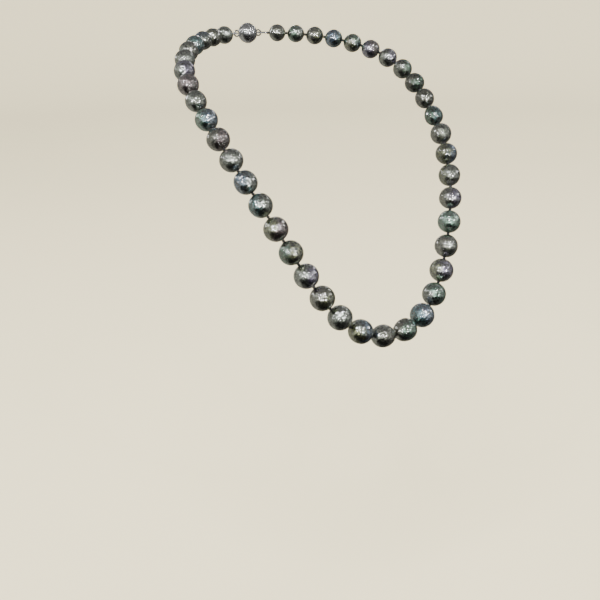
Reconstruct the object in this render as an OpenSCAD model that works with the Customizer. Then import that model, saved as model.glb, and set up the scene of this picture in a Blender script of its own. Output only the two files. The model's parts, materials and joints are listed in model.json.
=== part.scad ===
// Graduated pearl necklace, shown fastened and worn: two mirrored halves of one knotted strand.
// Frame: +Z up, -Y the wearer's front, +X the wearer's left. The origin is on the neck's axis,
// level with the pearls that lie widest over the shoulders.

/* [Drape] */
// Half the width of the loop over the shoulders, to the strand's centreline
half_width = 55.7; // [55.1:0.2:58.1]
// How far the lowest point of the strand lies in front of the neck's axis
front_reach = 60.3; // [59.5:0.2:62.5]
// How far the lowest point hangs below the widest pearls
front_drop = 94.7; // [93.9:0.2:97.1]
// How far the clasp lies behind the neck's axis
nape_reach = 54.2; // [53.4:0.2:56.2]
// How far the clasp lies above the widest pearls
nape_rise = 20.9; // [19.9:0.2:22.9]
// Slope of the strand where it crosses the shoulder, in degrees
shoulder_slope = 38; // [35:0.5:40]
// Flatness of the curve at the lowest point: length of its level handle
front_flat = 35.3; // [34.3:0.1:37.3]
// The point that draws the curve out over the chest: how far to the side of the middle
chest_side = 33.6; // [33.1:0.1:35.1]
// How far that point lies in front of the neck's axis
chest_reach = 43.2; // [42.2:0.1:45.2]
// How far that point lies below the widest pearls
chest_drop = 52.7; // [50.7:0.1:54.7]
// Length of the curve's handle from the shoulder down towards the chest
chest_run = 62.5; // [60.5:0.1:64.5]
// Length of the curve's handle from the shoulder up towards the nape
shoulder_run = 31.5; // [30:0.1:33]
// Flatness of the curve at the nape: length of its level handle
nape_flat = 22; // [20:0.1:24]

/* [Pearls] */
// Diameter of the two largest pearls, at the front
front_pearl = 10.5; // [10:0.05:10.5]
// Diameter of the two smallest pearls, beside the clasp
back_pearl = 8; // [7.5:0.05:8]
// How late along the strand the pearls get smaller: 1 is even, 2 is late
taper = 1.1; // [0.9:0.1:1.2]
// Diameter of the hole drilled through each pearl
drill = 0.9; // [0.8:0.05:1.1]

/* [Thread] */
// Space between two neighbouring pearls, which a knot fills
knot_gap = 0.9; // [0.8:0.05:0.95]
// Diameter of the round knot, seated in the mouths of the two holes beside it
knot = 1.5; // [1.3:0.05:1.6]
// Diameter of the doubled silk thread
silk = 0.7; // [0.4:0.05:0.75]

/* [Clasp] */
// Diameter of the two-part magnetic ball clasp
ball = 9; // [8.5:0.1:9.2]
// Diameter of the magnet disc in each half
magnet = 5; // [4:0.1:5.6]
// Thickness of each magnet disc
magnet_thick = 1.5; // [1:0.1:2]
// Diameter of the wire of the eye on each half
eye_wire = 0.7; // [0.6:0.05:0.75]
// Diameter of the coiled wire that guards the thread in the eye
guard_wire = 0.8; // [0.7:0.05:0.85]

/* [Hidden] */
$fn = 48;
side_pearls = 21;
run = 0.03;      // clearance between a knot and the cup that it turns in
face_gap = 0.05; // from the mirror plane to the flat face of each clasp half
ring_r = 1.3;    // radius of the eye and of the guard's loop, to the middle of the wire

// Overtones of the nacre, and which one each pearl has, from the front to the nape
TONES = [["taupe", [0.30, 0.27, 0.24]], ["violet", [0.31, 0.29, 0.35]],
    ["silver", [0.38, 0.40, 0.38]], ["neutral", [0.30, 0.30, 0.30]],
    ["green", [0.22, 0.28, 0.25]], ["olive", [0.29, 0.30, 0.24]],
    ["blue", [0.24, 0.29, 0.33]], ["rose", [0.36, 0.30, 0.31]]];
tones_l = ["rose", "blue", "silver", "violet", "taupe", "silver", "violet", "olive", "blue",
    "olive", "green", "taupe", "green", "green", "neutral", "violet", "olive", "blue", "taupe",
    "green", "neutral"];
tones_r = ["taupe", "violet", "silver", "neutral", "silver", "green", "olive", "green", "blue",
    "neutral", "taupe", "blue", "green", "taupe", "violet", "silver", "neutral", "green", "blue",
    "olive", "neutral"];
function tone(s, i) = [for (t = TONES) if (t[0] == (s == "l" ? tones_l : tones_r)[i]) t[1]][0];

// The strand bends at these knots: two hinges a side at the back, six bands at the front.
front_cuts = [12, 10, 8, 6, 4, 2, 0];
back_cut = 15;
nape_cut = 18;

// Half of the strand's centreline: one curve up the chest and one from the shoulder to the nape.
front = [0, -front_reach, -front_drop];
chest = [chest_side, -chest_reach, -chest_drop];
side = [half_width, 0, 0];
nape = [0, nape_reach, nape_rise];
climb = [0, cos(shoulder_slope), sin(shoulder_slope)];
chest_curve = [front, front + [front_flat, 0, 0], chest, side - chest_run * climb, side];
nape_curve = [side, side + shoulder_run * climb, nape + [nape_flat, 0, 0], nape];
function bez(p, t) = len(p) == 1 ? p[0] :
    bez([for (k = [1 : len(p) - 1]) (1 - t) * p[k - 1] + t * p[k]], t);
function strand(u) = u < 1 ? bez(chest_curve, u) : bez(nape_curve, u - 1);

// Pearls are numbered from 0 at the front to 20 at the nape. Knot i comes before pearl i.
function dia(i) = front_pearl - (front_pearl - back_pearl) * pow(i / (side_pearls - 1), taper);
function step_on(from, far, lo, hi, n = 32) = n == 0 ? lo :
    let (mid = (lo + hi) / 2)
    norm(strand(mid) - from) < far ? step_on(from, far, mid, hi, n - 1)
                                   : step_on(from, far, lo, mid, n - 1);
function march(i, u) = i == side_pearls ? [u] :
    concat([u], march(i + 1, step_on(strand(u), dia(i) + knot_gap, u, min(u + 0.3, 2))));
knots = [for (u = march(0, 0)) strand(u)];

// The eye's centre, and the far side of its wire, where the guard's loop hangs
eye = nape + [ball / 2 + 1.3, 0, 0];
link = eye + [ring_r, 0, 0];

PEARLS = [for (s = ["l", "r"], i = [0 : side_pearls - 1]) str("pearl_", s, i + 1)];
BANDS = [for (j = [1 : len(front_cuts) - 1]) str("thread_front_", j)];
ENDS = [for (s = ["l", "r"], n = ["thread_back_", "thread_nape_", "guard_", "clasp_half_",
    "magnet_"]) str(n, s)];

// Stands its children on p with their Z axis towards q
module aim(p, q) {
    v = q - p;
    translate(p) rotate([0, acos(v[2] / norm(v)), atan2(v[1], v[0])]) children();
}

// Puts its children on the wearer's left, or mirrored on the right
module on(s) {
    if (s == "l") children();
    else mirror([1, 0, 0]) children();
}

// A pearl drilled through, with a cup in the mouth of each end for the knots
module pearl(i) {
    reach = norm(knots[i + 1] - knots[i]);
    aim(knots[i], knots[i + 1]) difference() {
        translate([0, 0, reach / 2]) sphere(d = dia(i));
        translate([0, 0, -1]) cylinder(d = drill, h = reach + 2);
        for (z = [0, reach]) translate([0, 0, z]) sphere(d = knot + 2 * run);
    }
}

// Thread from knot a to knot b. An end whose knot belongs to the neighbour stops short of it.
module thread(a, b, own_a = true, own_b = true) {
    short = knot / 2 + run;
    for (i = [a : b - 1]) {
        reach = norm(knots[i + 1] - knots[i]);
        from = i == a && !own_a ? short : 0;
        to = i == b - 1 && !own_b ? reach - short : reach;
        aim(knots[i], knots[i + 1]) {
            translate([0, 0, from]) cylinder(d = silk, h = to - from);
            if (i > a || own_a) sphere(d = knot);
            if (i == b - 1 && own_b) translate([0, 0, reach]) sphere(d = knot);
        }
    }
}

module thread_shoulders() {
    color([0.16, 0.16, 0.17])
        for (s = ["l", "r"]) on(s) thread(front_cuts[0], back_cut);
}

module thread_front(j) {
    color([0.16, 0.16, 0.17])
        for (s = ["l", "r"]) on(s) thread(front_cuts[j], front_cuts[j - 1], own_b = false);
}

module thread_back() {
    color([0.16, 0.16, 0.17]) thread(back_cut, nape_cut, own_a = false);
}

module thread_nape() {
    color([0.16, 0.16, 0.17]) thread(nape_cut, side_pearls, own_a = false);
}

module ring(r, wire) {
    rotate_extrude() translate([r, 0]) circle(d = wire);
}

// The coiled guard: a loop through the eye, and a sleeve over the thread up to the last knot
module guard() {
    last = knots[side_pearls];
    sleeve = max(norm(last - link) - ring_r - knot / 2 - run, 0.2);
    color([0.55, 0.55, 0.57]) {
        translate(link) ring(ring_r, guard_wire);
        aim(link, last) translate([0, 0, ring_r])
            cylinder(d = guard_wire + 0.3, h = sleeve);
    }
}

// One half of the ball, with its rim bead, its eye and the pocket for its magnet
module clasp_half() {
    color([0.78, 0.78, 0.8]) {
        translate(nape) rotate([0, 90, 0]) rotate_extrude() difference() {
            union() {
                intersection() {
                    circle(d = ball);
                    translate([0, face_gap]) square(ball);
                }
                translate([ball / 2 - 0.2, face_gap + 0.6]) circle(d = 0.7);
            }
            square([magnet / 2 + 0.02, face_gap + magnet_thick + 0.1]);
        }
        translate(eye) rotate([90, 0, 0]) ring(ring_r, eye_wire);
    }
}

module magnet_disc() {
    color([0.6, 0.6, 0.62]) translate(nape + [face_gap + 0.05, 0, 0]) rotate([0, 90, 0])
        cylinder(d = magnet, h = magnet_thick);
}

for (s = ["l", "r"], i = [0 : side_pearls - 1])
    color(tone(s, i)) on(s) pearl(i);
thread_shoulders();
for (j = [1 : len(front_cuts) - 1])
    thread_front(j);
for (s = ["l", "r"]) {
    on(s) thread_back();
    on(s) thread_nape();
    on(s) guard();
    on(s) clasp_half();
    on(s) magnet_disc();
}
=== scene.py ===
import json
import math
import random

import bmesh
import bpy
import numpy as np
from mathutils import Matrix, Vector


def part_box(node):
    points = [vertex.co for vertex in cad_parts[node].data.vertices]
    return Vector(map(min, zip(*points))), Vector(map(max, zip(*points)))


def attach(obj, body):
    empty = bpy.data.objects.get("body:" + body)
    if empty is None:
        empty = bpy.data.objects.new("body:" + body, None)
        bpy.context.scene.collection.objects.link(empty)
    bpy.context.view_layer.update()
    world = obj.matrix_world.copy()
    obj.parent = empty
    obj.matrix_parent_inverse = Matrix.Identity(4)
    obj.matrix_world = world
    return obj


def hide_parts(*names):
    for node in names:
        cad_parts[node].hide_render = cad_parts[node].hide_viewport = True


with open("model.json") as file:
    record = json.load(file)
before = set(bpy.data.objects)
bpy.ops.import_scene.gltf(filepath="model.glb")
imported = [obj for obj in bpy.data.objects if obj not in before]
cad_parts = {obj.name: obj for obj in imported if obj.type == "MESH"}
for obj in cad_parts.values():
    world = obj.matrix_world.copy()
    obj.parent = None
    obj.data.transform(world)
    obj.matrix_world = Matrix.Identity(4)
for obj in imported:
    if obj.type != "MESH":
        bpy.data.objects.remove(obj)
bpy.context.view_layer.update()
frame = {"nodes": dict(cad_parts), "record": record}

MM = 0.001

# ---------------------------------------------------------------- the strand, as the CAD has it
# lengths are in millimetres here, and in metres once a mesh or a material is made
SIDE = 21                             # pearls on each side
FRONT_PEARL, BACK_PEARL, TAPER = 10.5, 8.0, 1.1
GAP, KNOT, BORE, SILK_D = 0.9, 1.5, 0.9, 0.7
CLEAR = 0.03                          # between a knot and the cup that it turns in
BALL, RING = 9.0, 1.3                 # the clasp's diameter, and the radius of its eyes
SLOPE = math.radians(38)              # of the strand where it crosses the shoulder
FRONT = np.array([0.0, -60.3, -94.7])
CHEST = np.array([33.6, -43.2, -52.7])
SHOULDER = np.array([55.7, 0.0, 0.0])
NAPE = np.array([0.0, 54.2, 20.9])
CLIMB = np.array([0.0, math.cos(SLOPE), math.sin(SLOPE)])
FRONT_FLAT, NAPE_FLAT = np.array([35.3, 0, 0]), np.array([22.0, 0, 0])
CHEST_RUN, SHOULDER_RUN = 62.5, 31.5
CHEST_CURVE = (FRONT, FRONT + FRONT_FLAT, CHEST, SHOULDER - CHEST_RUN * CLIMB, SHOULDER)
NAPE_CURVE = (SHOULDER, SHOULDER + SHOULDER_RUN * CLIMB, NAPE + NAPE_FLAT, NAPE)
# the strand bends at these knots: six bands at the front, and two hinges a side at the back
CUTS = [12, 10, 8, 6, 4, 2, 0]
BACK_CUT, NAPE_CUT = 15, 18


def strand(u):
    """A point of the left half's centreline: 0 at the front, 1 at the shoulder, 2 at the nape."""
    p, t = (CHEST_CURVE, u) if u < 1 else (NAPE_CURVE, u - 1)
    while len(p) > 1:
        p = [(1 - t) * a + t * b for a, b in zip(p, p[1:])]
    return p[0]


def dia(i):
    return FRONT_PEARL - (FRONT_PEARL - BACK_PEARL) * (i / (SIDE - 1)) ** TAPER


def march():
    """The knots' places, stepped along the strand a pearl and a gap at a time."""
    us = [0.0]
    for i in range(SIDE):
        a, far = strand(us[-1]), dia(i) + GAP
        lo, hi = us[-1], min(us[-1] + 0.3, 2)
        for _ in range(32):
            mid = (lo + hi) / 2
            if np.linalg.norm(strand(mid) - a) < far:
                lo = mid
            else:
                hi = mid
        us.append(lo)
    return [strand(u) for u in us]


KNOTS = march()
EYE = NAPE + np.array([BALL / 2 + RING, 0, 0])
LINK = EYE + np.array([RING, 0, 0])


def flip(p, s):
    """A point of the left half, or its mirror image on the right."""
    return np.array(p) * (np.array([-1, 1, 1]) if s == "r" else 1)


BODY_OF = {}
for body, nodes in frame["record"]["behaviour"]["bodies"].items():
    for n in nodes:
        BODY_OF[n] = body
SLOT_OF = {s["node"]: s["material_slot"] for s in frame["record"]["subparts"]}


# ---------------------------------------------------------------- helpers
def unit(v):
    v = np.asarray(v, float)
    return v / np.linalg.norm(v)


def basis(z):
    """Two unit vectors at right angles to z."""
    a = np.array([0, 0, 1.0]) if abs(z[2]) < 0.9 else np.array([1.0, 0, 0])
    x = unit(np.cross(a, z))
    return x, np.cross(z, x)


def make(name, verts, faces, mat, body, *nodes, slot=None, inner=None, is_inner=None):
    """A smooth mesh piece in millimetres that rides on a body and stands for CAD nodes."""
    me = bpy.data.meshes.new(name)
    me.from_pydata((np.asarray(verts) * MM).tolist(), [], faces)
    me.polygons.foreach_set("use_smooth", [True] * len(me.polygons))
    me.materials.append(mat)
    if inner is not None:
        me.materials.append(inner)
        me.polygons.foreach_set("material_index", is_inner)
    me.update()
    bm = bmesh.new()
    bm.from_mesh(me)
    bmesh.ops.recalc_face_normals(bm, faces=bm.faces)
    bm.to_mesh(me)
    bm.free()
    ob = bpy.data.objects.new(name, me)
    bpy.context.scene.collection.objects.link(ob)
    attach(ob, body)
    if nodes:
        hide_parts(*nodes)
    return ob


class Tree:
    """A few lines of sugar for building a material's nodes."""

    def __init__(self, name):
        self.mat = bpy.data.materials.new(name)
        self.mat.use_nodes = True
        self.nt = self.mat.node_tree
        self.nt.nodes.clear()
        self.out = self.add("ShaderNodeOutputMaterial")
        self.bsdf = self.add("ShaderNodeBsdfPrincipled")
        self.link(self.bsdf.outputs[0], self.out.inputs[0])

    def add(self, kind, **kw):
        n = self.nt.nodes.new(kind)
        for k, v in kw.items():
            setattr(n, k, v)
        return n

    def link(self, a, b):
        self.nt.links.new(a, b)

    def coords(self, shift=(0, 0, 0), scale=(1, 1, 1)):
        tc = self.add("ShaderNodeTexCoord")
        mp = self.add("ShaderNodeMapping")
        mp.inputs["Location"].default_value = shift
        mp.inputs["Scale"].default_value = scale
        self.link(tc.outputs["Object"], mp.inputs["Vector"])
        return mp.outputs[0]

    def noise(self, vec, scale, detail=2.0, rough=0.5, distort=0.0):
        n = self.add("ShaderNodeTexNoise")
        n.inputs["Scale"].default_value = scale
        n.inputs["Detail"].default_value = detail
        n.inputs["Roughness"].default_value = rough
        n.inputs["Distortion"].default_value = distort
        self.link(vec, n.inputs["Vector"])
        return n.outputs["Fac"]

    def ramp(self, fac, *stops):
        r = self.add("ShaderNodeValToRGB")
        e = r.color_ramp.elements
        while len(e) < len(stops):
            e.new(0.5)
        for el, (pos, col) in zip(e, stops):
            el.position = pos
            el.color = (*col, 1) if isinstance(col, tuple) else (col, col, col, 1)
        self.link(fac, r.inputs[0])
        return r.outputs[0]

    def mix(self, fac, a, b, blend="MIX"):
        m = self.add("ShaderNodeMix", data_type="RGBA", blend_type=blend)
        for sock, v in ((m.inputs[0], fac), (m.inputs[6], a), (m.inputs[7], b)):
            if isinstance(v, (tuple, float, int)):
                sock.default_value = (*v, 1) if isinstance(v, tuple) else v
            else:
                self.link(v, sock)
        return m.outputs[2]

    def set(self, **kw):
        for k, v in kw.items():
            self.bsdf.inputs[k.replace("_", " ")].default_value = v

    def bump(self, height, strength, distance, below=None):
        b = self.add("ShaderNodeBump")
        b.inputs["Strength"].default_value = strength
        b.inputs["Distance"].default_value = distance
        self.link(height, b.inputs["Height"])
        if below is not None:
            self.link(below, b.inputs["Normal"])
        return b.outputs[0]


# ---------------------------------------------------------------- materials
# overtones of dark nacre, and each pearl's own pair, from the front of the strand to the nape: the
# second lies on the side towards the wearer's left and front, and the first on the other side
TINT = {
    "neutral": (0.152, 0.166, 0.133), "warm": (0.158, 0.158, 0.122), "rose": (0.181, 0.139, 0.141),
    "violet": (0.156, 0.134, 0.211), "blue": (0.094, 0.144, 0.214), "teal": (0.086, 0.174, 0.180),
    "green": (0.099, 0.180, 0.123), "mint": (0.110, 0.210, 0.154), "olive": (0.160, 0.172, 0.092),
    "lime": (0.182, 0.190, 0.085), "silver": (0.179, 0.199, 0.169),
}
PAIRS = {
    "r": "neutral warm, lime blue, silver silver, warm olive, silver violet, green olive, "
         "olive rose, teal neutral, blue silver, neutral silver, warm rose, mint blue, silver neutral, "
         "rose rose, silver violet, neutral silver, neutral warm, green teal, blue neutral, "
         "olive warm, neutral silver",
    "l": "warm mint, teal blue, neutral mint, olive violet, warm neutral, mint mint, warm violet, "
         "olive neutral, olive blue, warm neutral, green teal, warm warm, warm green, neutral green, "
         "neutral violet, violet rose, olive green, blue teal, warm olive, green silver, neutral warm",
}
PAIRS = {s: [p.split() for p in v.split(", ")] for s, v in PAIRS.items()}
LEFTWARD = unit((0.85, -0.53, 0.0))
# how much darker or brighter these pearls are drawn than the rest, in nacre and clear skin: on l9 to l13,
# which lie in shade, the darkening is painted shade
TONE_AND_PAINTED_SHADE = {
    "l2": 1.25, "l4": 1.2, "l5": 1.15, "l6": 1.15, "l9": 0.76, "l10": 0.88, "l11": 0.66, "l12": 0.66,
    "l13": 0.58, "l14": 0.85, "r5": 1.12, "r11": 0.84, "r12": 1.15,
}
# how far the two sizes of unevenness stand up, in metres: under the clear skin, and on the skin
HAMMER, WAVE = 0.000170, 0.00020
SKIN_HAMMER, SKIN_WAVE = 0.000150, 0.00015
SATIN = (0.277, 0.295)                # roughness of the nacre, least and most


def nacre(name, first, second, tone_and_shade, seed, centre, R):
    """Dark nacre: a tinted satin mirror whose overtone turns across the pearl, under a clear skin."""
    rnd = random.Random(seed)
    # the pearl's factor darkens or brightens its two tints: painted shade on the pearls that lie in shade
    first, second = (tuple(tone_and_shade * c for c in TINT[word]) for word in (first, second))
    t = Tree(name)
    at = t.coords(shift=[rnd.uniform(-1, 1) for _ in range(3)])
    cloud = t.noise(at, 210, 3.0, 0.55, 0.6)
    grain = t.noise(at, 900, 1.5, 0.5)
    # how far across the pearl a point lies, 0 to 1, with cloudy edges
    tilt = unit(LEFTWARD + np.array([rnd.gauss(0, 0.2), 0, rnd.gauss(0, 0.35)])) / (2.0 * R * MM)
    dot = t.add("ShaderNodeVectorMath", operation="DOT_PRODUCT")
    t.link(t.coords(shift=-centre * MM), dot.inputs[0])
    dot.inputs[1].default_value = tilt
    across = t.add("ShaderNodeMath", operation="MULTIPLY_ADD")
    t.link(cloud, across.inputs[0])
    across.inputs[1].default_value = 1.0
    t.link(dot.outputs["Value"], across.inputs[2])
    col = t.mix(t.ramp(across.outputs[0], (0.32, 0.0), (0.66, 1.0)), first, second)
    col = t.mix(t.ramp(grain, (0.37, 0.8), (0.49, 0.0)), col, (0.42, 0.42, 0.42), "MULTIPLY")
    col = t.mix(t.ramp(grain, (0.52, 0.0), (0.64, 0.8)), col, (1.85, 1.85, 1.85), "MULTIPLY")
    t.link(col, t.bsdf.inputs["Base Color"])
    t.link(t.ramp(grain, (0.3, SATIN[0]), (0.7, SATIN[1])), t.bsdf.inputs["Roughness"])
    # the same factor weakens or strengthens the clear skin's reflection: painted shade on the pearls that
    # lie in shade
    t.set(Metallic=1.0, Coat_Weight=1.0, Coat_Roughness=0.03, Coat_IOR=3.0 * tone_and_shade ** 0.6, IOR=1.53)
    wave = t.noise(at, 430, 1.2, 0.45, 0.8)
    hammer = t.noise(at, 1000, 1.3, 0.5, 0.4)
    force = rnd.uniform(0.95, 1.45)
    for socket, fine, coarse in (("Normal", HAMMER, WAVE), ("Coat Normal", SKIN_HAMMER, SKIN_WAVE)):
        t.link(t.bump(hammer, 1.0, fine * force, t.bump(wave, 1.0, coarse * force)), t.bsdf.inputs[socket])
    return t.mat


def drilled():
    """The cut layers of nacre inside the drill hole and its cup: matte and dusty."""
    t = Tree("drill_mouth")
    dust = t.noise(t.coords(), 1800, 3.0, 0.6)
    col = t.ramp(dust, (0.3, (0.040, 0.037, 0.034)), (0.7, (0.105, 0.098, 0.090)))
    t.link(col, t.bsdf.inputs["Base Color"])
    t.set(Roughness=0.75, Specular_IOR_Level=0.3)
    t.link(t.bump(dust, 0.6, 0.00004), t.bsdf.inputs["Normal"])
    return t.mat


def silk():
    """Dark silk, with a fine fibre and a faint sheen."""
    t = Tree("silk_thread")
    at = t.coords()
    fibre = t.noise(at, 5200, 3.0, 0.7)
    col = t.ramp(fibre, (0.3, (0.010, 0.010, 0.011)), (0.7, (0.045, 0.045, 0.047)))
    t.link(col, t.bsdf.inputs["Base Color"])
    t.link(t.ramp(fibre, (0.3, 0.38), (0.7, 0.6)), t.bsdf.inputs["Roughness"])
    t.set(Sheen_Weight=0.1, Sheen_Roughness=0.4, Specular_IOR_Level=0.5)
    t.link(t.bump(fibre, 0.5, 0.00004), t.bsdf.inputs["Normal"])
    return t.mat


def metal(name, light, dark, rough, scratch):
    """Polished metal, a little cloudy and finely scratched in one direction."""
    t = Tree(name)
    at = t.coords()
    wear = t.noise(at, 260, 4.0, 0.6)
    line = t.noise(t.coords(scale=(1, 9, 1)), 900, 2.0, 0.6)
    t.link(t.ramp(wear, (0.35, dark), (0.65, light)), t.bsdf.inputs["Base Color"])
    t.link(t.ramp(line, (0.35, rough), (0.7, rough + scratch)), t.bsdf.inputs["Roughness"])
    t.set(Metallic=1.0)
    t.link(t.bump(line, 0.04, 0.00002), t.bsdf.inputs["Normal"])
    return t.mat


MOUTH = drilled()
SILK = silk()
RHODIUM = metal("clasp_rhodium", (0.62, 0.62, 0.635), (0.52, 0.52, 0.54), 0.20, 0.08)
WIRE = metal("guard_wire", (0.66, 0.66, 0.68), (0.48, 0.48, 0.50), 0.20, 0.15)
MAGNET = metal("magnet_plate", (0.62, 0.62, 0.63), (0.50, 0.50, 0.52), 0.28, 0.20)


# ---------------------------------------------------------------- pearls
RINGS, ROUND = 66, 84                 # rows of points from hole to hole, and points round a row
RIM = 0.012                           # angle between the edge of the cup and the first row of the skin


def pearl(name, a, b, d, tints, tone_and_shade, seed, drop=0.0, oval=0.0, lemon=0.0, rough=1.0):
    """A drilled pearl between knots a and b: slightly off round, ringed and pitted like a grown one."""
    rnd = random.Random(seed)
    axis = unit(b - a)
    u, v = basis(axis)
    mid = (a + b) / 2
    R = d / 2
    D = R + GAP / 2
    rb, rc = BORE / 2, KNOT / 2 + CLEAR
    # where the cup's sphere meets the pearl's
    zi = (R * R - rc * rc + D * D) / (2 * D)
    ri = math.sqrt(R * R - zi * zi)
    end = math.acos(zi / R)
    # the outline in (z, r, 1 on the skin or 0 inside): out of the bore, over the skin and back in
    cup = []
    b0, b1 = math.asin(rb / rc), math.atan2(ri, D - zi)
    for k in range(4):
        ang = b0 + (b1 - 0.07 - b0) * k / 3
        cup.append((D - rc * math.cos(ang), rc * math.sin(ang)))
    inside = [(z, rb) for z in (R * 0.35, R * 0.7, cup[0][0] - 0.12)] + cup
    prof = [(z, r, 0) for z, r in inside]
    for k in range(RINGS):
        # rows lie closer together towards the two holes
        share = k / (RINGS - 1)
        share = 0.5 - 0.5 * math.cos(math.pi * share) * 0.35 - 0.65 * (0.5 - share)
        th = end + RIM + (math.pi - 2 * end - 2 * RIM) * share
        prof.append((R * math.cos(th), R * math.sin(th), 1))
    prof += [(-z, r, 0) for z, r in reversed(inside)] + [(0.0, rb, 0)]
    prof = np.array(prof)
    n = len(prof)
    phi = np.linspace(0, 2 * math.pi, ROUND, endpoint=False)
    z = np.repeat(prof[:, 0], ROUND)
    r = np.repeat(prof[:, 1], ROUND)
    on = np.repeat(prof[:, 2], ROUND)
    ph = np.tile(phi, n)
    local = np.stack([r * np.cos(ph), r * np.sin(ph), z], 1)
    dirs = local / np.maximum(np.linalg.norm(local, axis=1), 1e-9)[:, None]
    # how far the skin stands in or out, as a share of R
    off = np.zeros(len(dirs))
    for _ in range(3):
        q = unit([rnd.gauss(0, 1) for _ in range(3)])
        off += rnd.uniform(-0.014, 0.004) * rough * (dirs @ q) ** 2
    for _ in range(5):
        q = unit([rnd.gauss(0, 1) for _ in range(3)])
        k = rnd.uniform(2.0, 5.5)
        off += 0.0026 * rough * (np.sin(k * (dirs @ q) + rnd.uniform(0, 6.3)) - 0.6)
    # growth rings round an axis near the bore
    q = unit([rnd.gauss(0, 0.45), rnd.gauss(0, 0.45), 1])
    h = dirs @ q
    for _ in range(rnd.choice((1, 2, 2, 3, 4))):
        at, w = rnd.uniform(-0.8, 0.8), rnd.uniform(0.02, 0.05)
        off -= rnd.uniform(0.0015, 0.0055) * rough * np.exp(-((h - at) / w) ** 2)
    # pits and dimples
    for _ in range(rnd.randint(7, 14)):
        q = unit([rnd.gauss(0, 1) for _ in range(3)])
        w = rnd.uniform(0.045, 0.10)
        ang = np.arccos(np.clip(dirs @ q, -1, 1))
        off -= rnd.uniform(0.003, 0.010) * rough * np.exp(-(ang / w) ** 2)
    # fade at the drill holes so that their rims stay clean
    fade = on * np.clip((np.hypot(dirs[:, 0], dirs[:, 1]) - 0.15) / 0.12, 0, 1)
    local *= (1 + np.minimum(off, 0.006) * fade)[:, None]
    # overall shape: oval across the thread, a lemon with two pointed ends, or a drop with one: at b,
    # or at a if it is negative
    t = local[:, 2] / R
    round_off = np.clip(1 - t * t, 0, 1)
    width = 1 + oval * round_off - lemon * 4 * t * t * round_off
    width -= abs(drop) * 0.55 * (1 + math.copysign(1, drop) * t) * round_off ** 0.5
    local[:, 0] *= 1 + (width - 1) * fade
    local[:, 1] *= 1 + (width - 1) * fade
    verts = mid + local[:, :1] * u + local[:, 1:2] * v + local[:, 2:] * axis
    faces, mouth = [], []
    for i in range(n):
        i2 = (i + 1) % n
        for j in range(ROUND):
            j2 = (j + 1) % ROUND
            faces.append((i * ROUND + j, i * ROUND + j2, i2 * ROUND + j2, i2 * ROUND + j))
            mouth.append(int(prof[i, 2] * prof[i2, 2] == 0))
    skin = nacre("nacre_" + name[6:], *tints, tone_and_shade, seed, mid, R)
    make(name.replace("pearl", "nacre_pearl"), verts, faces, skin, BODY_OF[name], name,
         slot=SLOT_OF[name], inner=MOUTH, is_inner=mouth)


# pearls whose shape departs further from round than the rest
SPECIAL = {
    "r1": dict(lemon=0.03, oval=-0.06, drop=-0.05), "r2": dict(oval=-0.04), "r6": dict(drop=0.03),
    "r8": dict(drop=-0.02), "r9": dict(oval=-0.03, drop=0.03), "r13": dict(oval=-0.035, drop=-0.03),
    "l1": dict(drop=-0.16), "l4": dict(oval=0.015), "l8": dict(oval=-0.02), "l11": dict(drop=0.20),
    "l12": dict(oval=-0.03, drop=0.03),
}
CENTRED = 0.0003                      # a pearl's middle has to be within this of its CAD node's, in metres
for s in ("l", "r"):
    for i in range(SIDE):
        key = f"{s}{i + 1}"
        node = "pearl_" + key
        a, b = flip(KNOTS[i], s), flip(KNOTS[i + 1], s)
        lo, hi = (np.array(c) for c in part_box(node))
        assert np.linalg.norm((lo + hi) / 2 - (a + b) / 2 * MM) < CENTRED, node
        pearl(node, a, b, dia(i), PAIRS[s][i], TONE_AND_PAINTED_SHADE.get(key, 1.0), 1000 * (s == "r") + 7 * i + 3,
              rough=0.8 + 0.5 * random.Random(i).random(), **SPECIAL.get(key, {}))


# ---------------------------------------------------------------- silk: twisted thread and knots
def tube(path, radius, sides=8, closed=False):
    """Vertices and faces of a tube along a path of points: a closed loop, or with its ends filled."""
    path = np.asarray(path, float)
    n = len(path)
    tan = np.gradient(path, axis=0) if not closed else np.roll(path, -1, 0) - np.roll(path, 1, 0)
    tan /= np.linalg.norm(tan, axis=1)[:, None]
    x, _ = basis(tan[0])
    verts, faces = [], []
    ang = np.linspace(0, 2 * math.pi, sides, endpoint=False)
    for p, t in zip(path, tan):
        x = unit(x - t * (x @ t))
        y = np.cross(t, x)
        verts += [p + radius * (math.cos(w) * x + math.sin(w) * y) for w in ang]
    for i in range(n if closed else n - 1):
        i2 = (i + 1) % n
        for j in range(sides):
            j2 = (j + 1) % sides
            faces.append((i * sides + j, i * sides + j2, i2 * sides + j2, i2 * sides + j))
    if not closed:
        faces.append(tuple(reversed(range(sides))))
        faces.append(tuple(range((n - 1) * sides, n * sides)))
    return verts, faces


class Bag:
    """Gathers several closed shells into one mesh."""

    def __init__(self):
        self.v, self.f = [], []

    def put(self, verts, faces):
        k = len(self.v)
        self.v += list(verts)
        self.f += [tuple(i + k for i in f) for f in faces]


TWIST = 1.5                           # length of one turn of the two plies
PLY_STEP = 0.28
KNOT_STEPS = 60


def ply(bag, a, b, start, stop):
    """Two plies twisted round each other from a to b, cut short by start and stop."""
    axis = unit(b - a)
    x, y = basis(axis)
    a, b = a + axis * start, b - axis * stop
    length = np.linalg.norm(b - a)
    n = max(int(length / PLY_STEP), 4)
    for k in (0, 1):
        pts = []
        for j in range(n + 1):
            s = length * j / n
            w = 2 * math.pi * s / TWIST + math.pi * k
            pts.append(a + axis * s + SILK_D * 0.235 * (math.cos(w) * x + math.sin(w) * y))
        bag.put(*tube(pts, SILK_D * 0.26, 7))


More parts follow.
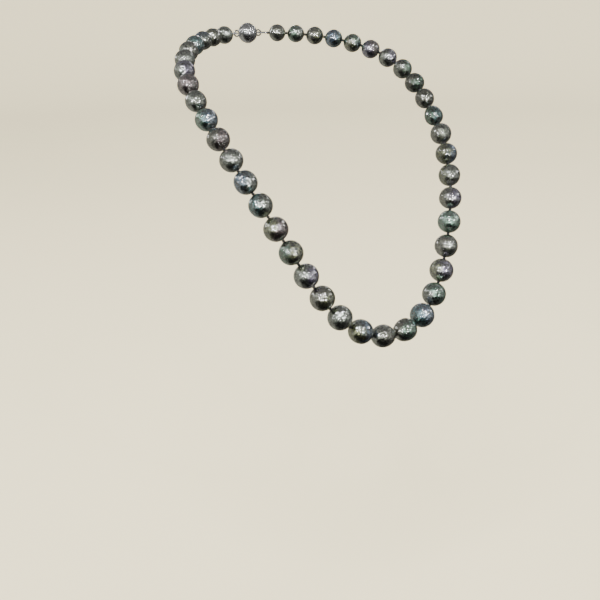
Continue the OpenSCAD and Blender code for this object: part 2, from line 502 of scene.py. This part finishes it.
def overhand(bag, at, axis, seed):
    """A tight overhand knot: a cord tied in a trefoil round the thread's line, about 1.5 mm across."""
    rnd = random.Random(seed)
    x, y = basis(axis)
    w0 = rnd.uniform(0, 6.3)
    pts = []
    for j in range(KNOT_STEPS):
        t = 2 * math.pi * j / KNOT_STEPS
        px = math.sin(t) + 2 * math.sin(2 * t)
        py = math.cos(t) - 2 * math.cos(2 * t)
        pz = -math.sin(3 * t)
        c, s = math.cos(w0), math.sin(w0)
        pts.append(at + 0.158 * ((px * c - py * s) * x + (px * s + py * c) * y) + 0.20 * pz * axis)
    bag.put(*tube(pts, 0.25, 9, closed=True))


def thread(name, a, b, sides, own_a=True, own_b=True):
    """The silk from knot a to knot b. An end whose knot belongs to the neighbour stops short of it."""
    bag = Bag()
    short = KNOT / 2 + CLEAR
    for s in sides:
        for i in range(a, b):
            p, q = flip(KNOTS[i], s), flip(KNOTS[i + 1], s)
            ply(bag, p, q, 0 if (i > a or own_a) else short, 0 if (i < b - 1 or own_b) else short)
        for k in range(a, b + 1):
            if (k > a or own_a) and (k < b or own_b) and not (k == 0 and s == "r"):
                prev = KNOTS[max(k - 1, 0)] if k else flip(KNOTS[1], "r")
                nxt = KNOTS[k + 1] if k < SIDE else LINK
                axis = unit(flip(nxt, s) - flip(prev, s))
                overhand(bag, flip(KNOTS[k], s), axis, 50 + k + 100 * (s == "r"))
    make(name.replace("thread", "silk"), bag.v, bag.f, SILK, BODY_OF[name], name, slot="silk")


thread("thread_shoulders", CUTS[0], BACK_CUT, "lr")
for j in range(1, len(CUTS)):
    thread(f"thread_front_{j}", CUTS[j], CUTS[j - 1], "lr", own_b=False)
for s in "lr":
    thread("thread_back_" + s, BACK_CUT, NAPE_CUT, s, own_a=False)
    thread("thread_nape_" + s, NAPE_CUT, SIDE, s, own_a=False)


# ---------------------------------------------------------------- the clasp
PER_TURN = 12                         # points in each turn of a coil
LOOP_STEPS = 48
LOOP_GAP = math.radians(28)           # half the opening of the guard's loop, where it turns to the knot
SPREAD = 0.22                         # half the distance between its two legs, at the knot


def coil(bag, path, radius, wire, pitch):
    """Fine wire wound round a path."""
    path = np.asarray(path, float)
    seg = np.linalg.norm(np.diff(path, axis=0), axis=1)
    s = np.concatenate([[0], np.cumsum(seg)])
    turns = s[-1] / pitch
    n = int(turns * PER_TURN)
    pos = np.stack([np.interp(np.linspace(0, s[-1], n), s, path[:, k]) for k in range(3)], 1)
    tan = np.gradient(pos, axis=0)
    tan /= np.linalg.norm(tan, axis=1)[:, None]
    x, _ = basis(tan[0])
    pts = []
    for j, (p, t) in enumerate(zip(pos, tan)):
        x = unit(x - t * (x @ t))
        y = np.cross(t, x)
        w = 2 * math.pi * j / PER_TURN
        pts.append(p + radius * (math.cos(w) * x + math.sin(w) * y))
    bag.put(*tube(pts, wire, 6))


for s in "lr":
    link, last = flip(LINK, s), flip(KNOTS[SIDE], s)
    lead = unit(last - link)
    side = unit(np.cross(np.array([0, 0, 1.0]), lead))
    loop = []
    # out of the last knot, round the eye's wire and back, in the loop's own plane
    for j in range(LOOP_STEPS + 1):
        w = LOOP_GAP + (2 * math.pi - 2 * LOOP_GAP) * j / LOOP_STEPS
        loop.append(link + RING * (math.cos(w) * lead + math.sin(w) * side))
    tip = last - lead * (KNOT / 2 - 0.25)
    loop = [tip + SPREAD * side] + loop + [tip - SPREAD * side]
    bag = Bag()
    coil(bag, loop, 0.30, 0.09, 0.185)
    bag.put(*tube(loop, 0.2, 8))
    make("guard_coil_" + s, bag.v, bag.f, WIRE, BODY_OF["guard_" + s], "guard_" + s, slot="guard_wire")
    for node, mat in (("clasp_half_" + s, RHODIUM), ("magnet_" + s, MAGNET)):
        ob = frame["nodes"][node]
        for k in range(len(ob.material_slots)):
            ob.material_slots[k].material = mat

# ---------------------------------------------------------------- stage, light and camera
AZ, EL, ROLL = math.radians(-32.14), math.radians(19.88), math.radians(-1.06)
CAM_AT = (-0.2010, -0.3078, 0.0359)
LENS = 50.07
back = Vector((math.sin(AZ) * math.cos(EL), -math.cos(AZ) * math.cos(EL), math.sin(EL)))
right = Vector((math.cos(AZ), math.sin(AZ), 0))
up = back.cross(right)
cam_x = math.cos(ROLL) * right + math.sin(ROLL) * up
cam_y = -math.sin(ROLL) * right + math.cos(ROLL) * up
cam = bpy.data.objects.new("camera", bpy.data.cameras.new("camera"))
bpy.context.scene.collection.objects.link(cam)
cam.matrix_world = Matrix.Translation(CAM_AT) @ Matrix((cam_x, cam_y, back)).transposed().to_4x4()
cam.data.sensor_width = 36
cam.data.lens = LENS
cam.data.clip_start = 0.01
bpy.context.scene.camera = cam


GLOW, GLOW_FROM, GLOW_TO = 0.97, 0.7, 2.4    # its strength, and the distances it grows between, in metres
FLOOR_Z, FLOOR_R, BEND_R, WALL_TOP = -0.2, 1.6, 1.2, 4.0
AROUND = 72                           # points round the sweep


def pale_glowing(name, colour):
    """Matte and pale, with painted light: it glows more with distance, so that the wall is as pale as the
    lit floor.
    """
    t = Tree(name)
    n = t.noise(t.coords(), 3.0, 2.0)
    t.link(t.ramp(n, (0.3, tuple(c * 0.985 for c in colour)), (0.7, colour)), t.bsdf.inputs["Base Color"])
    t.set(Roughness=0.9, Specular_IOR_Level=0.1)
    # painted light: the emission grows with distance from the middle of the stage
    far = t.add("ShaderNodeVectorMath", operation="LENGTH")
    t.link(t.coords(), far.inputs[0])
    rise = t.add("ShaderNodeMapRange", interpolation_type="SMOOTHSTEP")
    t.link(far.outputs["Value"], rise.inputs["Value"])
    for key, value in (("From Min", GLOW_FROM), ("From Max", GLOW_TO), ("To Max", GLOW)):
        rise.inputs[key].default_value = value
    t.link(rise.outputs["Result"], t.bsdf.inputs["Emission Strength"])
    t.set(Emission_Color=(*colour, 1))
    return t.mat


# A pale sweep all round, which the camera sees and shadows fall on, and whose far floor and wall glow with
# painted light. The pearls don't mirror it:
# they mirror the painted studio below, as they would mirror a dim room with lit spots.
PALE = pale_glowing("stage_pale_glowing", (0.87, 0.765, 0.49))
prof = [(0.0, FLOOR_Z), (0.5, FLOOR_Z), (FLOOR_R, FLOOR_Z)]
for k in range(6, 91, 6):
    ang = math.radians(k)
    prof.append((FLOOR_R + BEND_R * math.sin(ang), FLOOR_Z + BEND_R * (1 - math.cos(ang))))
prof.append((2.8, WALL_TOP))
turn = [2 * math.pi * k / AROUND for k in range(AROUND)]
verts = [(r * math.cos(w), r * math.sin(w), z) for r, z in prof for w in turn]
faces = [(i * AROUND + k, i * AROUND + (k + 1) % AROUND, (i + 1) * AROUND + (k + 1) % AROUND,
          (i + 1) * AROUND + k) for i in range(len(prof) - 1) for k in range(AROUND)]
me = bpy.data.meshes.new("sweep")
me.from_pydata(verts, [], faces)
me.polygons.foreach_set("use_smooth", [True] * len(me.polygons))
me.materials.append(PALE)
sweep = bpy.data.objects.new("sweep", me)
bpy.context.scene.collection.objects.link(sweep)
sweep.visible_glossy = sweep.visible_diffuse = sweep.visible_shadow = False

# The painted studio: cloudy bright spots all round and brighter on the camera's side, even grey
# overhead, dull low down and darkest towards the floor before the camera, and a pale haze low behind
# on the camera's left.
world = bpy.data.worlds.new("studio")
world.use_nodes = True
wt = world.node_tree
wt.nodes.clear()


def wnode(kind, **kw):
    """A node of the studio."""
    n = wt.nodes.new(kind)
    for k, v in kw.items():
        setattr(n, k, v)
    return n


def along(direction):
    """The share of a ray's direction along a fixed direction of the room."""
    d = wnode("ShaderNodeVectorMath", operation="DOT_PRODUCT")
    wt.links.new(ray, d.inputs[0])
    d.inputs[1].default_value = direction
    return d.outputs["Value"]


def ease(value, lo, hi):
    """0 up to lo, 1 from hi, and smooth in between."""
    m = wnode("ShaderNodeMapRange", interpolation_type="SMOOTHSTEP")
    m.inputs["From Min"].default_value = lo
    m.inputs["From Max"].default_value = hi
    wt.links.new(value, m.inputs["Value"])
    return m.outputs["Result"]


def cloudy(scale, detail):
    n = wnode("ShaderNodeTexNoise")
    n.inputs["Scale"].default_value = scale
    n.inputs["Detail"].default_value = detail
    wt.links.new(ray, n.inputs["Vector"])
    return n.outputs["Fac"]


def lay(fac, below, above):
    """One colour over another, as far as fac says."""
    m = wnode("ShaderNodeMix", data_type="RGBA")
    wt.links.new(fac, m.inputs[0])
    for k, v in ((6, below), (7, above)):
        if isinstance(v, tuple):
            m.inputs[k].default_value = (*v, 1)
        else:
            wt.links.new(v, m.inputs[k])
    return m.outputs[2]


ray = wnode("ShaderNodeTexCoord").outputs["Generated"]
ahead = (math.sin(AZ), -math.cos(AZ), 0.0)     # level, towards the camera
floorward = unit(0.62 * np.array(ahead) - np.array([0, 0, 0.78]))
aside = unit(-0.80 * np.array(right) - 0.45 * np.array(ahead) - np.array([0, 0, 0.42]))
spots = cloudy(4.6, 1.5)
front = lay(ease(spots, 0.44, 0.62), (0.151, 0.154, 0.144), (1.050, 1.077, 0.988))
rear = lay(ease(spots, 0.44, 0.62), (0.071, 0.072, 0.069), (0.534, 0.538, 0.507))
sky = lay(ease(along(ahead), -0.35, 0.45), rear, front)
sky = lay(ease(along((0, 0, 1)), 0.45, 0.92), sky, (0.231, 0.231, 0.223))
low = lay(ease(along(ahead), -0.6, 0.2), (0.142, 0.134, 0.116), (0.089, 0.089, 0.085))
height = wnode("ShaderNodeMath", operation="MULTIPLY_ADD")
wt.links.new(cloudy(3.1, 1.0), height.inputs[0])
height.inputs[1].default_value = 0.7
wt.links.new(along((0, 0, 1)), height.inputs[2])
colour = lay(ease(height.outputs[0], 0.0, 0.30), low, sky)
colour = lay(ease(along(floorward), 0.50, 0.84), colour, (0.018, 0.018, 0.017))
haze = lay(ease(cloudy(5.5, 1.0), 0.40, 0.60), (0.231, 0.227, 0.196), (0.587, 0.579, 0.498))
colour = lay(ease(along(aside), 0.40, 0.95), colour, haze)
bg = wnode("ShaderNodeBackground")
wt.links.new(colour, bg.inputs[0])
bg.inputs[1].default_value = 1.0
wt.links.new(bg.outputs[0], wnode("ShaderNodeOutputWorld").inputs[0])
bpy.context.scene.world = world


def lamp(name, where, aim, size, power, wide=None):
    """A round lamp, or a rectangular one if it is given a second size."""
    li = bpy.data.lights.new(name, "AREA")
    li.shape = "RECTANGLE" if wide else "DISK"
    li.size = size
    if wide:
        li.size_y = wide
    li.energy = power
    ob = bpy.data.objects.new(name, li)
    ob.location = where
    ob.rotation_euler = (Vector(aim) - Vector(where)).to_track_quat("-Z", "Y").to_euler()
    bpy.context.scene.collection.objects.link(ob)
    return ob


def towards(az, el, far):
    """The point at this azimuth and elevation, in degrees, and this distance from the origin."""
    a, e = math.radians(az), math.radians(el)
    return Vector((math.sin(a) * math.cos(e), -math.cos(a) * math.cos(e), math.sin(e))) * far


SOFT_FAR, SOFT_SIZE, PANE_FAR = 1.9, 1.3, 1.5
# broad soft light from above for the sweep and the shadows, and small panes for the pearls to
# mirror: bright ones round the camera, and weaker ones behind
for az, el, power in ((-60, 68, 66), (110, 60, 34)):
    lamp(f"soft_{el}", towards(az, el, SOFT_FAR), (0, 0, -0.1), SOFT_SIZE, power).visible_glossy = False
for k, (az, el, size, wide, power) in enumerate((
        (-66, 14, 0.089, 0.068, 3.5), (-8, 4, 0.116, 0.082, 6.2), (14, 16, 0.074, 0.054, 2.4),
        (-45, 46, 0.068, 0.048, 2.0), (-22, 36, 0.082, 0.054, 3.0), (6, 47, 0.061, 0.048, 1.8),
        (-76, 40, 0.061, 0.048, 1.8), (-40, 4, 0.061, 0.048, 2.4), (-50, 27, 0.054, 0.041, 1.9),
        (-28, 17, 0.041, 0.034, 1.1), (-1, 25, 0.041, 0.034, 1.2), (62, 22, 0.12, 0.09, 1.0),
        (100, 30, 0.1, 0.08, 0.7), (130, 22, 0.09, 0.07, 0.3), (152, 14, 0.12, 0.09, 0.5),
        (178, 26, 0.1, 0.08, 0.4), (206, 14, 0.12, 0.09, 1.1), (234, 28, 0.1, 0.08, 0.8),
        (262, 18, 0.11, 0.08, 1.0))):
    lamp(f"pane_{k}", towards(az, el, PANE_FAR), (0, 0, -0.03), size, power, wide)
